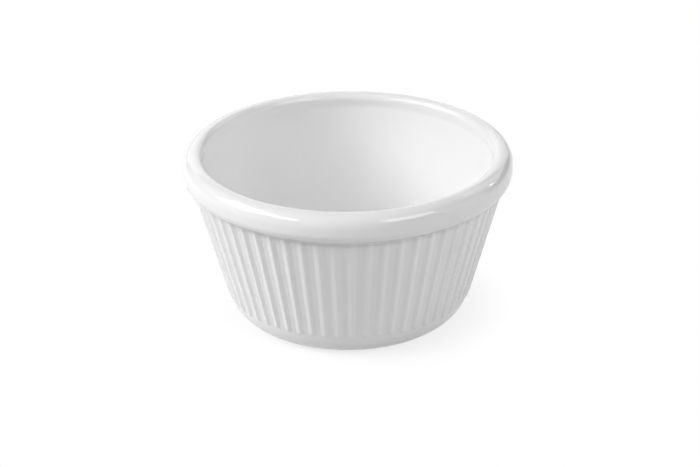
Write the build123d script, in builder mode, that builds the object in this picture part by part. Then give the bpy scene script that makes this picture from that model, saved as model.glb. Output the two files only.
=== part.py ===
from build123d import *
import math
import os

# Ribbed ramekin, formed and glazed in one piece. Millimetres, +Z up.
# The origin is the middle of the plane that the foot ring stands on.

# Rim: a round bead that overhangs the wall outside and stands upright inside
rim_diameter = 86.0
height = 45.0
rim_rounding = 3.44  # the outer quarter round, from the crest down to the upright face
rim_face_height = 1.46
rim_undercut_radius = 3.0  # the round under the face
rim_undercut_turn = math.radians(60)  # how far that round turns in before it runs straight to the wall
rim_overhang = 2.69  # from the wall out to the face
lip_depth = 3.48  # from the crest down the upright inner face to where the inside wall leans in
lip_easing_radius = 5.0  # eases the inner face into the leaning inside wall

# Wall: a cone, the ground that the ribs stand on
wall_thickness = 3.65

# Ribs: straight rounded ridges that widen with the cone
rib_count = 60
rib_height = 0.5  # at their lower ends
rib_crest_radius = 0.9
rib_flank_slope = math.radians(25)
rib_root = 0.6  # hidden in the wall
rib_reach = 2.5  # how far the ribs run on inside the rim
rib_gap = 0.2  # plain wall between the ribs' lower ends and the heel

# Heel: the plain band that curves in below the ribs
heel_height = 5.7
heel_width = 5.02

# Foot
foot_diameter = 53.6
foot_ring_width = 3.2
foot_recess_depth = 1.1

# Inside floor
floor_thickness = 3.9

# Worked out from the sizes above
rim_radius = rim_diameter / 2
crest_radius = rim_radius - rim_rounding
face_top = height - rim_rounding
face_bottom = face_top - rim_face_height
undercut_radius = rim_radius - rim_undercut_radius * (1 - math.cos(rim_undercut_turn))
undercut_height = face_bottom - rim_undercut_radius * math.sin(rim_undercut_turn)
wall_top_radius = rim_radius - rim_overhang
wall_top_height = undercut_height - (undercut_radius - wall_top_radius) / math.tan(rim_undercut_turn)
foot_radius = foot_diameter / 2
heel_radius = foot_radius + heel_width
wall_lean = math.atan2(wall_top_radius - heel_radius, wall_top_height - heel_height)
floor_height = foot_recess_depth + floor_thickness


def wall_radius(at_height):
    """Radius of the outside wall between the ribs."""
    return heel_radius + (at_height - heel_height) * math.tan(wall_lean)


def inside_radius(at_height):
    """Radius of the inside wall, which runs parallel to the outside one."""
    return wall_radius(at_height) - wall_thickness / math.cos(wall_lean)


# The upright inner face stands on the inside wall, and a quarter round joins it to the crest
lip_foot_height = height - lip_depth
inner_face_radius = inside_radius(lip_foot_height)
lip_radius = crest_radius - inner_face_radius

# Rib section: a round crest between two straight flanks that go down into the wall
flank_top_width = rib_crest_radius * math.sin(rib_flank_slope)
flank_top_height = rib_height - rib_crest_radius * (1 - math.cos(rib_flank_slope))
rib_half_width = flank_top_width + flank_top_height / math.tan(rib_flank_slope)
root_half_width = rib_half_width + rib_root / math.tan(rib_flank_slope)
flanks_meet_height = rib_half_width * math.tan(rib_flank_slope)

# A rib starts above the heel and leans out a little more than the wall, so it widens as the wall does
rib_end_height = heel_height + (rib_gap + rib_half_width) * math.cos(wall_lean)
rib_length = (wall_top_height - rib_end_height) / math.cos(wall_lean) + rib_reach
rib_growth = rib_height * (wall_top_radius / wall_radius(rib_end_height) - 1)
rib_lean = wall_lean + math.atan2(rib_growth, rib_length)
up_the_rib = (math.sin(rib_lean), 0, math.cos(rib_lean))
rib_end = Plane(origin=(wall_radius(rib_end_height), 0, rib_end_height), x_dir=(0, -1, 0), z_dir=up_the_rib)
rib_tip = rib_end.offset(-root_half_width)


# One rib: the section drawn out, then the lower end turned round at the flanks' slope
with BuildPart() as rib:
    with BuildSketch(rib_tip):
        with BuildLine():
            crest = (0, rib_height)
            flank_top = (flank_top_width, flank_top_height)
            TangentArc(crest, flank_top, tangent=(1, 0))
            Polyline(flank_top, (root_half_width, -rib_root), (0, -rib_root), crest)
        make_face()
        mirror(about=Plane.YZ)
    extrude(amount=root_half_width + rib_length)
    with BuildSketch(rib_end):
        with BuildLine():
            flank_bottom = (root_half_width, -rib_root)
            waste_bottom = (2 * root_half_width, -rib_root)
            waste_top = (2 * root_half_width, flanks_meet_height)
            Polyline((0, flanks_meet_height), flank_bottom, waste_bottom, waste_top, close=True)
        make_face()
    revolve(axis=Axis(rib_end.origin, rib_end.y_dir), revolution_arc=180, mode=Mode.SUBTRACT)

# Half section of the dish, from the recess under it round to the floor inside
recess_middle = (0, foot_recess_depth)
recess_corner = (foot_radius - foot_ring_width, foot_recess_depth)
ring_inner_edge = (foot_radius - foot_ring_width, 0)
ring_outer_edge = (foot_radius, 0)
heel_top = (heel_radius, heel_height)
wall_top = (wall_top_radius, wall_top_height)
undercut_end = (undercut_radius, undercut_height)
crest = (crest_radius, height)
lip_bottom = (inner_face_radius, height - lip_radius)
lip_foot = (inner_face_radius, lip_foot_height)
floor_corner = (inside_radius(floor_height), floor_height)
floor_middle = (0, floor_height)

with BuildPart() as ramekin:
    with BuildSketch(Plane.XZ) as half_section:
        with BuildLine():
            Polyline(recess_middle, recess_corner, ring_inner_edge, ring_outer_edge)
            TangentArc(heel_top, ring_outer_edge, tangent=(-math.sin(wall_lean), -math.cos(wall_lean)))
            Line(heel_top, wall_top)
            TangentArc((rim_radius, face_bottom), undercut_end, tangent=(0, -1))
            Line(undercut_end, wall_top)
            Line((rim_radius, face_bottom), (rim_radius, face_top))
            TangentArc((rim_radius, face_top), crest, tangent=(0, 1))
            TangentArc(crest, lip_bottom, tangent=(-1, 0))
            Polyline(lip_bottom, lip_foot, floor_corner, floor_middle, recess_middle)
        make_face()
        fillet(half_section.vertices().sort_by_distance(lip_foot)[0], lip_easing_radius)
    revolve(axis=Axis.Z)
    with PolarLocations(radius=0, count=rib_count):
        add(rib.part)

ramekin.part.label = "ramekin_dish"

os.makedirs("parts", exist_ok=True)
export_step(ramekin.part, "parts/ramekin_dish.step")
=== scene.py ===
import math

import bmesh
import bpy
from mathutils import Euler, Matrix, Vector


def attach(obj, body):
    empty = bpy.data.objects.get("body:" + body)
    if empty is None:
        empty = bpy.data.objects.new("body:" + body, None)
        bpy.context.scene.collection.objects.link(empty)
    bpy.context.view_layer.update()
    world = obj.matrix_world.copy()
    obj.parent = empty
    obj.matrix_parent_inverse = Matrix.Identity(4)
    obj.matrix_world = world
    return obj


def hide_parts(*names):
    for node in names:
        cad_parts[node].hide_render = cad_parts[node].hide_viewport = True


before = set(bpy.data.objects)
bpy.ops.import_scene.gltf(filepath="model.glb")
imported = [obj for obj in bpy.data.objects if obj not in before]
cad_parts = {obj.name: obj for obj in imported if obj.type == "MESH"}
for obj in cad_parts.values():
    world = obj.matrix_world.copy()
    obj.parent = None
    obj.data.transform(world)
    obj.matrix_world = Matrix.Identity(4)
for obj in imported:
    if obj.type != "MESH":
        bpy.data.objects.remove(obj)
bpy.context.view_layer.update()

# A glazed white ramekin. The dish is one mesh: its half section is drawn as a chain of points, one slice
# as wide as a rib is spun from it, the rib is raised on that slice, and the slice is copied round.
# Metres, in the CAD's frame: +Z up the dish's axis, +X through the middle of a rib.

MM = 0.001

# Rim
RIM_RADIUS = 43.0 * MM
HEIGHT = 45.0 * MM
RIM_ROUNDING = 3.44 * MM  # the outer quarter round
RIM_FACE = 1.46 * MM  # the upright face under it
UNDERCUT_RADIUS = 3.0 * MM  # the round under the face
UNDERCUT_TURN = math.radians(60)  # how far that round turns in before it runs straight to the wall
RIM_OVERHANG = 2.69 * MM
LIP_RADIUS = 1.75 * MM  # the round from the crest down to the upright inner face
LIP_EASING = 5.0 * MM  # eases the inner face into the leaning inside wall
CREASE_RADIUS = 1.6 * MM  # the glaze rounds the crease between the wall and the rim
CREASE_APPROACH = 0.8 * MM  # closer rings below the crease

# Wall and ribs
WALL_THICKNESS = 3.65 * MM
RIB_COUNT = 60
RIB_HEIGHT = 0.38 * MM
RIB_CREST_RADIUS = 0.9 * MM
RIB_FOOT_RADIUS = 0.3 * MM  # the hollow between a flank and the plain wall
RIB_SLOPE = math.radians(23)
RIB_GAP = 0.2 * MM  # plain wall between the ribs' lower ends and the heel
RIB_DOME = 0.4 * MM  # close rings this far up a rib from the middle of its domed end
RIB_MARGIN = 0.12 * MM  # a column of points on the plain wall beside a rib
RIB_TOP_SOFTNESS = 0.3 * MM  # the glaze rounds the crease where a rib runs into the rim
RIB_TOP_FADE = 4  # that round is whole where the rib is more than 1 / 4 of its height

# Heel and foot
HEEL_HEIGHT = 5.7 * MM
HEEL_WIDTH = 5.02 * MM
FOOT_RADIUS = 26.8 * MM
FOOT_RING = 3.2 * MM
FOOT_EDGE = 0.4 * MM
FOOT_INNER_EDGE = 0.35 * MM
RECESS_DEPTH = 1.1 * MM
RECESS_CORNER = 0.7 * MM

# Inside
FLOOR_THICKNESS = 3.9 * MM
FLOOR_CORNER = 8.0 * MM

# Making
SAME_PLACE_DIGITS = 4  # points whose height in mm and angle agree this far move together
WELD_DISTANCE = 0.005 * MM

# Worked out from the sizes above
CREST_RADIUS = RIM_RADIUS - RIM_ROUNDING
FACE_TOP = HEIGHT - RIM_ROUNDING
FACE_BOTTOM = FACE_TOP - RIM_FACE
UNDERCUT_END = (RIM_RADIUS - UNDERCUT_RADIUS * (1 - math.cos(UNDERCUT_TURN)),
                FACE_BOTTOM - UNDERCUT_RADIUS * math.sin(UNDERCUT_TURN))
WALL_TOP_RADIUS = RIM_RADIUS - RIM_OVERHANG
WALL_TOP_HEIGHT = UNDERCUT_END[1] - (UNDERCUT_END[0] - WALL_TOP_RADIUS) / math.tan(UNDERCUT_TURN)
HEEL_RADIUS = FOOT_RADIUS + HEEL_WIDTH
LEAN = math.atan2(WALL_TOP_RADIUS - HEEL_RADIUS, WALL_TOP_HEIGHT - HEEL_HEIGHT)
FLOOR_HEIGHT = RECESS_DEPTH + FLOOR_THICKNESS
RECESS_RADIUS = FOOT_RADIUS - FOOT_RING
RIB_CREST_DROP = RIB_CREST_RADIUS * (1 - math.cos(RIB_SLOPE))
RIB_FOOT_RISE = RIB_FOOT_RADIUS * (1 - math.cos(RIB_SLOPE))
RIB_CREST_RUN = RIB_CREST_RADIUS * math.sin(RIB_SLOPE)
RIB_FLANK_RUN = (RIB_HEIGHT - RIB_CREST_DROP - RIB_FOOT_RISE) / math.tan(RIB_SLOPE)
RIB_FLANK_END = RIB_CREST_RUN + RIB_FLANK_RUN
RIB_HALF_WIDTH = RIB_FLANK_END + RIB_FOOT_RADIUS * math.sin(RIB_SLOPE)
RIB_END_HEIGHT = HEEL_HEIGHT + (RIB_GAP + RIB_HALF_WIDTH) * math.cos(LEAN)
SLICE_ANGLE = 2 * math.pi / RIB_COUNT


def wall_radius(height):
    """Radius of the plain wall between the ribs."""
    return HEEL_RADIUS + (height - HEEL_HEIGHT) * math.tan(LEAN)


def inside_radius(height):
    """Radius of the inside wall."""
    return wall_radius(height) - WALL_THICKNESS / math.cos(LEAN)


# ---- Half section: each function adds its points to the chain

def line(start, end, steps):
    """Points on a straight run, without its start."""
    return [(start[0] + (end[0] - start[0]) * i / steps, start[1] + (end[1] - start[1]) * i / steps)
            for i in range(1, steps + 1)]


def arc(centre, radius, start, end, steps):
    """Points on an arc, in degrees, without its start."""
    angles = [math.radians(start + (end - start) * i / steps) for i in range(1, steps + 1)]
    return [(centre[0] + radius * math.cos(angle), centre[1] + radius * math.sin(angle))
            for angle in angles]


def draw_foot_and_heel(points):
    """Recess, foot ring and heel. The heel's arc meets the wall at the wall's own slope."""
    recess_centre = (RECESS_RADIUS - RECESS_CORNER, RECESS_DEPTH - RECESS_CORNER)
    points += line(points[-1], (recess_centre[0], RECESS_DEPTH), steps=2)
    points += arc(recess_centre, RECESS_CORNER, 90, 0, steps=4)
    points += arc((RECESS_RADIUS + FOOT_INNER_EDGE, FOOT_INNER_EDGE), FOOT_INNER_EDGE, 180, 270, steps=3)

    half_turn = math.atan2(HEEL_WIDTH, HEEL_HEIGHT) - LEAN
    heel_arc = math.hypot(HEEL_WIDTH, HEEL_HEIGHT) / 2 / math.sin(half_turn)
    heel_centre = (HEEL_RADIUS - heel_arc * math.cos(LEAN), HEEL_HEIGHT + heel_arc * math.sin(LEAN))

    # The foot's outer edge is a small arc that touches the table and the heel's arc
    edge_reach = math.sqrt((heel_arc - FOOT_EDGE) ** 2 - (heel_centre[1] - FOOT_EDGE) ** 2)
    edge_centre = (heel_centre[0] + edge_reach, FOOT_EDGE)
    edge_angle = math.degrees(math.atan2(FOOT_EDGE - heel_centre[1], edge_reach))
    points += line(points[-1], (edge_centre[0], 0.0), steps=2)
    points += arc(edge_centre, FOOT_EDGE, -90, edge_angle, steps=2)
    points += arc(heel_centre, heel_arc, edge_angle, -math.degrees(LEAN), steps=8)


def draw_wall(points):
    """Wall and crease: close rings where the ribs end and below the crease, wider ones between."""
    dome_top = RIB_END_HEIGHT + RIB_DOME
    crease_run = CREASE_RADIUS * math.tan((UNDERCUT_TURN - LEAN) / 2)
    crease_start = (WALL_TOP_RADIUS - crease_run * math.sin(LEAN),
                    WALL_TOP_HEIGHT - crease_run * math.cos(LEAN))
    crease_centre = (crease_start[0] + CREASE_RADIUS * math.cos(LEAN),
                     crease_start[1] - CREASE_RADIUS * math.sin(LEAN))
    approach = crease_start[1] - CREASE_APPROACH
    points += line((HEEL_RADIUS, HEEL_HEIGHT), (wall_radius(dome_top), dome_top), steps=11)
    points += line(points[-1], (wall_radius(approach), approach), steps=6)
    points += line(points[-1], crease_start, steps=4)
    points += arc(crease_centre, CREASE_RADIUS,
                  180 - math.degrees(LEAN), 180 - math.degrees(UNDERCUT_TURN), steps=4)


def draw_rim(points):
    """Underside, upright face, outer round and the lip's inner round."""
    undercut_centre = (RIM_RADIUS - UNDERCUT_RADIUS, FACE_BOTTOM)
    points += line(points[-1], UNDERCUT_END, steps=7)
    points += arc(undercut_centre, UNDERCUT_RADIUS, -math.degrees(UNDERCUT_TURN), 0, steps=7)
    points += line(points[-1], (RIM_RADIUS, FACE_TOP), steps=1)
    points += arc((CREST_RADIUS, FACE_TOP), RIM_ROUNDING, 0, 90, steps=10)
    points += arc((CREST_RADIUS, HEIGHT - LIP_RADIUS), LIP_RADIUS, 90, 180, steps=9)


def draw_inside(points):
    """Upright inner face, its easing into the leaning wall, and the floor with its round corner."""
    lean = math.degrees(LEAN)
    inner_face = CREST_RADIUS - LIP_RADIUS
    lip_foot = HEIGHT - (inside_radius(HEIGHT) - inner_face) / math.tan(LEAN)
    easing_top = lip_foot + LIP_EASING * math.tan(LEAN / 2)
    corner_height = FLOOR_HEIGHT + FLOOR_CORNER
    corner_centre = (inside_radius(corner_height) - FLOOR_CORNER / math.cos(LEAN), corner_height)
    corner_start = (corner_centre[0] + FLOOR_CORNER * math.cos(LEAN),
                    corner_centre[1] - FLOOR_CORNER * math.sin(LEAN))
    points += line(points[-1], (inner_face, easing_top), steps=1)
    points += arc((inner_face - LIP_EASING, easing_top), LIP_EASING, 0, -lean, steps=4)
    points += line(points[-1], corner_start, steps=3)
    points += arc(corner_centre, FLOOR_CORNER, -lean, -90, steps=8)
    points += line(points[-1], (0.0, FLOOR_HEIGHT), steps=3)


def half_section():
    """The outline from the middle of the foot's recess, round the outside, to the middle of the floor."""
    points = [(0.0, RECESS_DEPTH)]
    draw_foot_and_heel(points)
    draw_wall(points)
    draw_rim(points)
    draw_inside(points)
    return points


# ---- Ribs

def rib_profile(away):
    """Height of the rib's section: a round crest, a straight flank and a hollow foot."""
    if away < RIB_CREST_RUN:
        return RIB_HEIGHT - RIB_CREST_RADIUS + math.sqrt(RIB_CREST_RADIUS ** 2 - away ** 2)
    if away < RIB_FLANK_END:
        return RIB_HEIGHT - RIB_CREST_DROP - (away - RIB_CREST_RUN) * math.tan(RIB_SLOPE)
    if away < RIB_HALF_WIDTH:
        return RIB_FOOT_RADIUS - math.sqrt(RIB_FOOT_RADIUS ** 2 - (RIB_HALF_WIDTH - away) ** 2)
    return 0.0


def rib_rise(radius, height, off_middle):
    """How far the rib stands out here, along the radius. off_middle is the angle from the rib's middle."""
    grown = wall_radius(height) / wall_radius(RIB_END_HEIGHT)
    sideways = radius * off_middle / grown
    below = max(0.0, (RIB_END_HEIGHT - height) / math.cos(LEAN))
    rise = rib_profile(math.hypot(sideways, below))
    rib_surface = wall_radius(height) + rise * grown / math.cos(LEAN)
    gap = rib_surface - radius
    on_underside = height > WALL_TOP_HEIGHT - CREASE_RADIUS
    if on_underside and abs(gap) < RIB_TOP_SOFTNESS:
        # The glaze fills the crease between the rib's top and the rim's underside
        filled = (gap + RIB_TOP_SOFTNESS) ** 2 / (4 * RIB_TOP_SOFTNESS)
        return filled * min(1.0, rise / RIB_HEIGHT * RIB_TOP_FADE)
    return max(0.0, gap)


def column_angles():
    """Angles of the slice's columns from the rib's middle, close together where the rib's section bends."""
    places = [RIB_CREST_RUN / 2, RIB_CREST_RUN, (RIB_CREST_RUN + RIB_FLANK_END) / 2, RIB_FLANK_END,
              (RIB_FLANK_END + RIB_HALF_WIDTH) / 2, RIB_HALF_WIDTH, RIB_HALF_WIDTH + RIB_MARGIN]
    half = [0.0] + [place / wall_radius(RIB_END_HEIGHT) for place in places] + [SLICE_ANGLE / 2]
    return [-angle for angle in reversed(half)] + half[1:]


# ---- Modelling helpers

def deselect_all():
    for obj in list(bpy.context.selected_objects):
        obj.select_set(False)


def apply_place(obj):
    """Puts the object at the origin, unturned and unscaled, with its place in its mesh."""
    deselect_all()
    obj.select_set(True)
    bpy.context.view_layer.objects.active = obj
    bpy.ops.object.transform_apply(location=True, rotation=True, scale=True)


def select_points(obj, wanted):
    """In edit mode, selects the vertices whose numbers are in wanted."""
    mesh = bmesh.from_edit_mesh(obj.data)
    mesh.verts.ensure_lookup_table()
    for vert in mesh.verts:
        vert.select_set(False)
    for index in wanted:
        mesh.verts[index].select_set(True)
    bmesh.update_edit_mesh(obj.data)


# ---- The dish

def draw_section():
    """The half section as a chain of points, drawn out from one vertex. Leaves the dish in edit mode."""
    section = half_section()
    deselect_all()
    bpy.ops.mesh.primitive_plane_add(size=MM, location=(0, 0, 0))
    section_object = bpy.context.object
    section_object.name = "glazed_dish"
    bpy.ops.object.mode_set(mode="EDIT")
    bpy.ops.mesh.select_mode(type="VERT")
    bpy.ops.mesh.select_all(action="SELECT")
    bpy.ops.mesh.merge(type="CENTER")
    bpy.ops.transform.translate(value=(section[0][0], 0, section[0][1]))
    for before, after in zip(section, section[1:]):
        step = (after[0] - before[0], 0, after[1] - before[1])
        bpy.ops.mesh.extrude_region_move(TRANSFORM_OT_translate={"value": step})
    return section_object


def spin_slice():
    """One slice, as wide as a rib and its share of the plain wall, with the rib's middle in its middle."""
    bpy.ops.mesh.select_all(action="SELECT")
    angles = column_angles()
    bpy.ops.transform.rotate(value=angles[0], orient_axis="Z", center_override=(0, 0, 0))
    for before, after in zip(angles, angles[1:]):
        bpy.ops.mesh.spin(steps=1, angle=after - before, center=(0, 0, 0), axis=(0, 0, 1))
    bpy.ops.object.mode_set(mode="OBJECT")


def on_ribbed_wall(radius, height):
    """Whether a point is on the outside between the heel and the rim's face."""
    return HEEL_HEIGHT < height < FACE_BOTTOM and radius > wall_radius(height) - WALL_THICKNESS / 2


def raise_rib(slice_object):
    """Moves the wall's points out to the rib's surface, the two that mirror each other at a time."""
    groups = {}
    for vert in slice_object.data.vertices:
        radius = math.hypot(vert.co.x, vert.co.y)
        height = vert.co.z
        if not on_ribbed_wall(radius, height):
            continue
        off_middle = abs(math.atan2(vert.co.y, vert.co.x))
        rise = rib_rise(radius, height, off_middle)
        if rise > 0:
            place = (round(height / MM, SAME_PLACE_DIGITS), round(off_middle, SAME_PLACE_DIGITS))
            group = groups.setdefault(place, (radius, rise, []))
            group[2].append(vert.index)
    bpy.ops.object.mode_set(mode="EDIT")
    for radius, rise, members in groups.values():
        select_points(slice_object, members)
        wider = (radius + rise) / radius
        bpy.ops.transform.resize(value=(wider, wider, 1), center_override=(0, 0, 0))
    bpy.ops.object.mode_set(mode="OBJECT")


def copy_slices():
    """Copies the slice round the dish and closes the seams and the two poles."""
    bpy.ops.object.mode_set(mode="EDIT")
    bpy.ops.mesh.select_all(action="SELECT")
    around = SLICE_ANGLE * (RIB_COUNT - 1)
    bpy.ops.mesh.spin(steps=RIB_COUNT - 1, dupli=True, angle=around, center=(0, 0, 0), axis=(0, 0, 1))
    bpy.ops.mesh.select_all(action="SELECT")
    bpy.ops.mesh.remove_doubles(threshold=WELD_DISTANCE)
    bpy.ops.mesh.normals_make_consistent(inside=False)
    bpy.ops.object.mode_set(mode="OBJECT")
    bpy.ops.object.shade_smooth()


dish = draw_section()
spin_slice()
raise_rib(dish)
copy_slices()
apply_place(dish)
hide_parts("ramekin_dish")


# ---- Shader nodes

class Value:
    """A shader value that can be used in sums; each operator adds its Math node."""

    def __init__(self, nodes, socket):
        self.nodes = nodes
        self.socket = socket

    def maths(self, operation, other, swapped=False):
        pair = (other, self) if swapped else (self, other)
        return self.nodes.node("ShaderNodeMath", {"operation": operation}, {0: pair[0], 1: pair[1]})

    def __add__(self, other):
        return self.maths("ADD", other)

    def __sub__(self, other):
        return self.maths("SUBTRACT", other)

    def __rsub__(self, other):
        return self.maths("SUBTRACT", other, swapped=True)

    def __mul__(self, other):
        return self.maths("MULTIPLY", other)

    __radd__ = __add__
    __rmul__ = __mul__


class Nodes:
    """The nodes of a material or of the world."""

    def __init__(self, owner):
        owner.use_nodes = True
        self.owner = owner
        self.tree = owner.node_tree
        self.tree.nodes.clear()

    def node(self, kind, settings=None, sockets=None, output=0):
        """Adds a node: its settings first, then its sockets' values or links. Gives one of its outputs."""
        made = self.tree.nodes.new(kind)
        for name, value in (settings or {}).items():
            setattr(made, name, value)
        for name, value in (sockets or {}).items():
            if isinstance(value, Value):
                self.tree.links.new(value.socket, made.inputs[name])
            else:
                made.inputs[name].default_value = value
        return Value(self, made.outputs[output]) if made.outputs else None

    def finish(self, kind, shader):
        """Closes the tree with its output node and gives the material or world."""
        self.node(kind, sockets={"Surface": shader})
        return self.owner

    def noise(self, place, scale, detail, roughness=0.5):
        return self.node("ShaderNodeTexNoise", None,
                         {"Vector": place, "Scale": scale, "Detail": detail, "Roughness": roughness})

    def ramp(self, value, low, high):
        """0 at low, 1 at high, smooth between and level beyond."""
        return self.node("ShaderNodeMapRange", {"interpolation_type": "SMOOTHSTEP"},
                         {"Value": value, "From Min": low, "From Max": high})

    def larger(self, first, second):
        return self.node("ShaderNodeMath", {"operation": "MAXIMUM"}, {0: first, 1: second})

    def mix_colours(self, share, first, second):
        return self.node("ShaderNodeMix", {"data_type": "RGBA"}, {0: share, 6: first, 7: second}, output=2)

    def bump(self, height, depth, below=None):
        """Relief of this height and depth in metres, on top of the relief below it."""
        sockets = {"Strength": 1.0, "Distance": depth, "Height": height}
        if below is not None:
            sockets["Normal"] = below
        return self.node("ShaderNodeBump", None, sockets)


def grey(level, warmth=0.0):
    return (level + warmth, level, level - warmth, 1.0)


WHITE = grey(1.0)


# ---- White glaze

BODY_WHITE = 0.84
CLOUD_CONTRAST = 0.006  # how much lighter and darker the body's clouds are
CREASE_SHADE_DEPTH = 0.09  # how much darker the painted shade in the crease under the rim is; the glaze is thicker there too
RIB_VALLEY_SHADE_SHARE = 0.08  # the share of that painted shade between the ribs
BARE_DARK = grey(0.70, 0.012)
BARE_PALE = grey(0.80, 0.008)

GLAZE_IOR = 1.5
GLAZE_ROUGHNESS = 0.05
SMEAR_ROUGHNESS = 0.06  # how much the smears change it
BARE_ROUGHNESS = 0.62

# Noises: scale per metre, detail and, where it isn't 0.5, roughness
CLOUDS = (26.0, 2.0)
SMEARS = (90.0, 3.0, 0.6)
WAVES = (140.0, 1.5)
PEEL = (900.0, 1.0)
GRAIN = (4200.0, 3.0, 0.7)

WAVE_DEPTH = 0.03 * MM
PEEL_DEPTH = 0.002 * MM
GRAIN_DEPTH = 0.04 * MM

# Places where the finish changes, each from and to
OUTSIDE = (-2.0 * MM, -1.0 * MM)  # out from the plain wall
ABOVE_HEEL = (HEEL_HEIGHT, HEEL_HEIGHT + 1.0 * MM)
ABOVE_WALL = (WALL_TOP_HEIGHT, WALL_TOP_HEIGHT + 0.6 * MM)
INTO_CREASE = (WALL_TOP_HEIGHT - 1.8 * MM, WALL_TOP_HEIGHT - 0.4 * MM)
OUT_OF_CREASE = (WALL_TOP_HEIGHT + 0.4 * MM, WALL_TOP_HEIGHT + 1.2 * MM)
BETWEEN_RIBS = (0.1, -0.9)  # of a wave that is 1 along the crests and -1 midway between them
ABOVE_FOOT = (0.25 * MM, 0.5 * MM)
ON_FOOT_RING = (RECESS_RADIUS - 1.0 * MM, RECESS_RADIUS - 0.5 * MM)


def white_glaze():
    """Clear gloss over a white body: painted shade between the ribs and in the crease under the rim, where
    the glaze is also thick, and wiped off the foot ring.
    """
    glaze = Nodes(bpy.data.materials.new("white_glaze"))
    place = glaze.node("ShaderNodeTexCoord", output="Object")
    x, y, z = [glaze.node("ShaderNodeSeparateXYZ", None, {0: place}, output=axis) for axis in "XYZ"]
    radius = glaze.node("ShaderNodeMath", {"operation": "SQRT"}, {0: x * x + y * y})
    around = glaze.node("ShaderNodeMath", {"operation": "ARCTAN2"}, {0: y, 1: x})
    rib_wave = glaze.node("ShaderNodeMath", {"operation": "COSINE"}, {0: around * float(RIB_COUNT)})
    outside = glaze.ramp(radius - (z * math.tan(LEAN) + wall_radius(0.0)), *OUTSIDE)

    # Painted shade, darker where the glaze is thick: a trace of it between the ribs, more in the crease
    # under the rim, where shade falls
    on_ribs = glaze.ramp(z, *ABOVE_HEEL) * (1.0 - glaze.ramp(z, *ABOVE_WALL)) * outside
    # Painted shade in the valleys between the ribs
    valley_shade = glaze.ramp(rib_wave, *BETWEEN_RIBS) * on_ribs
    # Painted shade in the crease under the rim's overhang
    crease_shade = glaze.ramp(z, *INTO_CREASE) * (1.0 - glaze.ramp(z, *OUT_OF_CREASE)) * outside
    clouds = glaze.noise(place, *CLOUDS)
    body = glaze.mix_colours(clouds, grey(BODY_WHITE - CLOUD_CONTRAST), grey(BODY_WHITE + CLOUD_CONTRAST))
    # Painted shade: the body's colour is darkened between the ribs and in the crease under the rim
    body = glaze.mix_colours(valley_shade * RIB_VALLEY_SHADE_SHARE + crease_shade, body, grey(BODY_WHITE - CREASE_SHADE_DEPTH))

    # Bare, fine-grained body where the foot ring was wiped
    bare = (1.0 - glaze.ramp(z, *ABOVE_FOOT)) * glaze.ramp(radius, *ON_FOOT_RING)
    grain = glaze.noise(place, *GRAIN)
    colour = glaze.mix_colours(bare, body, glaze.mix_colours(grain, BARE_DARK, BARE_PALE))

    smears = glaze.noise(place, *SMEARS)
    gloss = smears * SMEAR_ROUGHNESS + (GLAZE_ROUGHNESS - SMEAR_ROUGHNESS / 2)
    roughness = gloss * (1.0 - bare) + bare * BARE_ROUGHNESS

    relief = glaze.bump(glaze.noise(place, *WAVES), WAVE_DEPTH)
    relief = glaze.bump(glaze.noise(place, *PEEL), PEEL_DEPTH, below=relief)
    relief = glaze.bump(grain * bare, GRAIN_DEPTH, below=relief)
    shader = glaze.node("ShaderNodeBsdfPrincipled", None, {
        "Base Color": colour, "Roughness": roughness, "Normal": relief, "IOR": GLAZE_IOR,
    })
    return glaze.finish("ShaderNodeOutputMaterial", shader)


glaze_material = white_glaze()
dish.data.materials.clear()
dish.data.materials.append(glaze_material)
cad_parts["ramekin_dish"].data.materials.clear()
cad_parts["ramekin_dish"].data.materials.append(glaze_material)
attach(dish, "root")


# ---- Floor

FLOOR_SIZE = 12.0
FLOOR_COLOUR = 0.6  # of the light that it throws back on the dish
FLOOR_SEEN = 0.95  # of what the camera sees of it
FLOOR_WHITENESS = 0.75  # share of plain white next to the dish; the rest takes the dish's shadow
FLOOR_SHADOW_REACH = 0.028  # from the dish's middle, as far as that share holds
FLOOR_WHITE_FROM = 0.045  # from the dish's middle, where it is all white


def pale_floor():
    """White table: cameras, mirrors and glass see it white, and it keeps part of the dish's shadow."""
    table = Nodes(bpy.data.materials.new("pale_floor"))
    place = table.node("ShaderNodeTexCoord", output="Object")
    distance = table.node("ShaderNodeVectorMath", {"operation": "LENGTH"}, {0: place}, output="Value")
    by_camera = table.node("ShaderNodeLightPath", output="Is Camera Ray")
    by_gloss = table.node("ShaderNodeLightPath", output="Is Glossy Ray")
    by_glass = table.node("ShaderNodeLightPath", output="Is Transmission Ray")
    seen = table.larger(table.larger(by_camera, by_gloss), by_glass)
    further = table.ramp(distance, FLOOR_SHADOW_REACH, FLOOR_WHITE_FROM)
    whiteness = further * (1.0 - FLOOR_WHITENESS) + FLOOR_WHITENESS
    colour = table.mix_colours(by_camera, grey(FLOOR_COLOUR), grey(FLOOR_SEEN))
    matt = table.node("ShaderNodeBsdfDiffuse", None, {"Color": colour})
    white = table.node("ShaderNodeEmission", None, {"Color": WHITE, "Strength": 1.0})
    mixed = table.node("ShaderNodeMixShader", None, {0: seen * whiteness, 1: matt, 2: white})
    return table.finish("ShaderNodeOutputMaterial", mixed)


deselect_all()
bpy.ops.mesh.primitive_plane_add(size=FLOOR_SIZE, location=(0, 0, 0))
floor = bpy.context.object
floor.name = "floor"
floor.data.materials.append(pale_floor())


# ---- World and lamps

def white_room():
    """A world that cameras see white and that lights nothing."""
    room = Nodes(bpy.data.worlds.new("white_room"))
    by_camera = room.node("ShaderNodeLightPath", output="Is Camera Ray")
    dark = room.node("ShaderNodeBackground", None, {"Color": WHITE, "Strength": 0.0})
    white = room.node("ShaderNodeBackground", None, {"Color": WHITE, "Strength": 1.0})
    mixed = room.node("ShaderNodeMixShader", None, {0: by_camera, 1: dark, 2: white})
    return room.finish("ShaderNodeOutputWorld", mixed)


LAMP_AIM = Vector((0.0, 0.0, 0.02))

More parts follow.
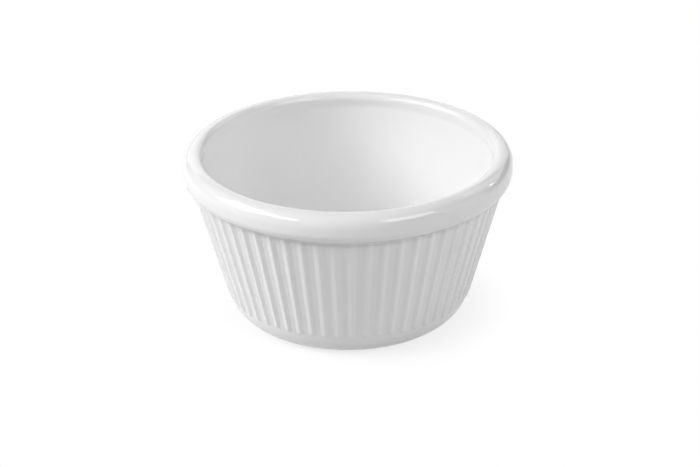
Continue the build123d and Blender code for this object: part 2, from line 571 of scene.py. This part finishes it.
LAMPS = {
    # name: (direction from the dish, distance, width, height, watts)
    "softbox_left": ((-0.80, -0.05, 0.60), 1.3, 0.7, 0.7, 13.6),
    "strip_left_front": ((-0.64, -0.43, 0.64), 1.4, 0.68, 0.24, 3.9),
    "softbox_right_front": ((0.54, -0.54, 0.64), 1.5, 0.85, 0.55, 7.0),
    "softbox_right_back": ((0.65, 0.50, 0.55), 1.5, 0.8, 0.8, 2.7),
    "panel_right": ((0.95, -0.10, 0.28), 1.6, 1.2, 0.8, 3.9),
    "panel_left": ((-0.93, -0.30, 0.26), 1.6, 1.2, 0.8, 1.0),
    "panel_front": ((0.0, -0.96, 0.28), 2.0, 2.4, 1.0, 4.1),
    "panel_back": ((0.0, 0.95, 0.30), 2.0, 2.4, 1.0, 9.1),
    "window_right": ((0.79, 0.45, 0.40), 1.6, 0.10, 0.14, 0.5),
}


def add_lamp(name, direction, distance, width, height, watts):
    lamp = bpy.data.lights.new(name, "AREA")
    lamp.shape = "RECTANGLE"
    lamp.size = width
    lamp.size_y = height
    lamp.energy = watts
    stand = bpy.data.objects.new(name, lamp)
    away = Vector(direction).normalized()
    stand.location = LAMP_AIM + away * distance
    stand.rotation_euler = away.to_track_quat("Z", "Y").to_euler()
    bpy.context.scene.collection.objects.link(stand)


bpy.context.scene.world = white_room()
for lamp_name, lamp_settings in LAMPS.items():
    add_lamp(lamp_name, *lamp_settings)


# ---- Camera

CAMERA_TURN = math.radians(-0.95)  # the photograph looks at the ribs a little from one side
CAMERA_TILT = 0.4425
CAMERA_ROLL = -0.0102
CAMERA_DISTANCE = 0.602
CAMERA_AIM = Vector((0.000348, 0.0, 0.020537))
SENSOR_WIDTH = 36.0
LENS_LENGTH = 116.92
NEAREST_SEEN = 0.01

camera_data = bpy.data.cameras.new("camera")
camera_data.sensor_width = SENSOR_WIDTH
camera_data.lens = LENS_LENGTH
camera_data.clip_start = NEAREST_SEEN
camera = bpy.data.objects.new("camera", camera_data)
spot = CAMERA_AIM + CAMERA_DISTANCE * Vector((0.0, -math.cos(CAMERA_TILT), math.sin(CAMERA_TILT)))
camera.matrix_world = (Matrix.Rotation(CAMERA_TURN, 4, "Z") @ Matrix.Translation(spot)
                       @ Euler((math.pi / 2 - CAMERA_TILT, 0, 0)).to_matrix().to_4x4()
                       @ Matrix.Rotation(CAMERA_ROLL, 4, "Z"))
bpy.context.scene.collection.objects.link(camera)
bpy.context.scene.camera = camera
bpy.context.scene.view_settings.view_transform = "Standard"
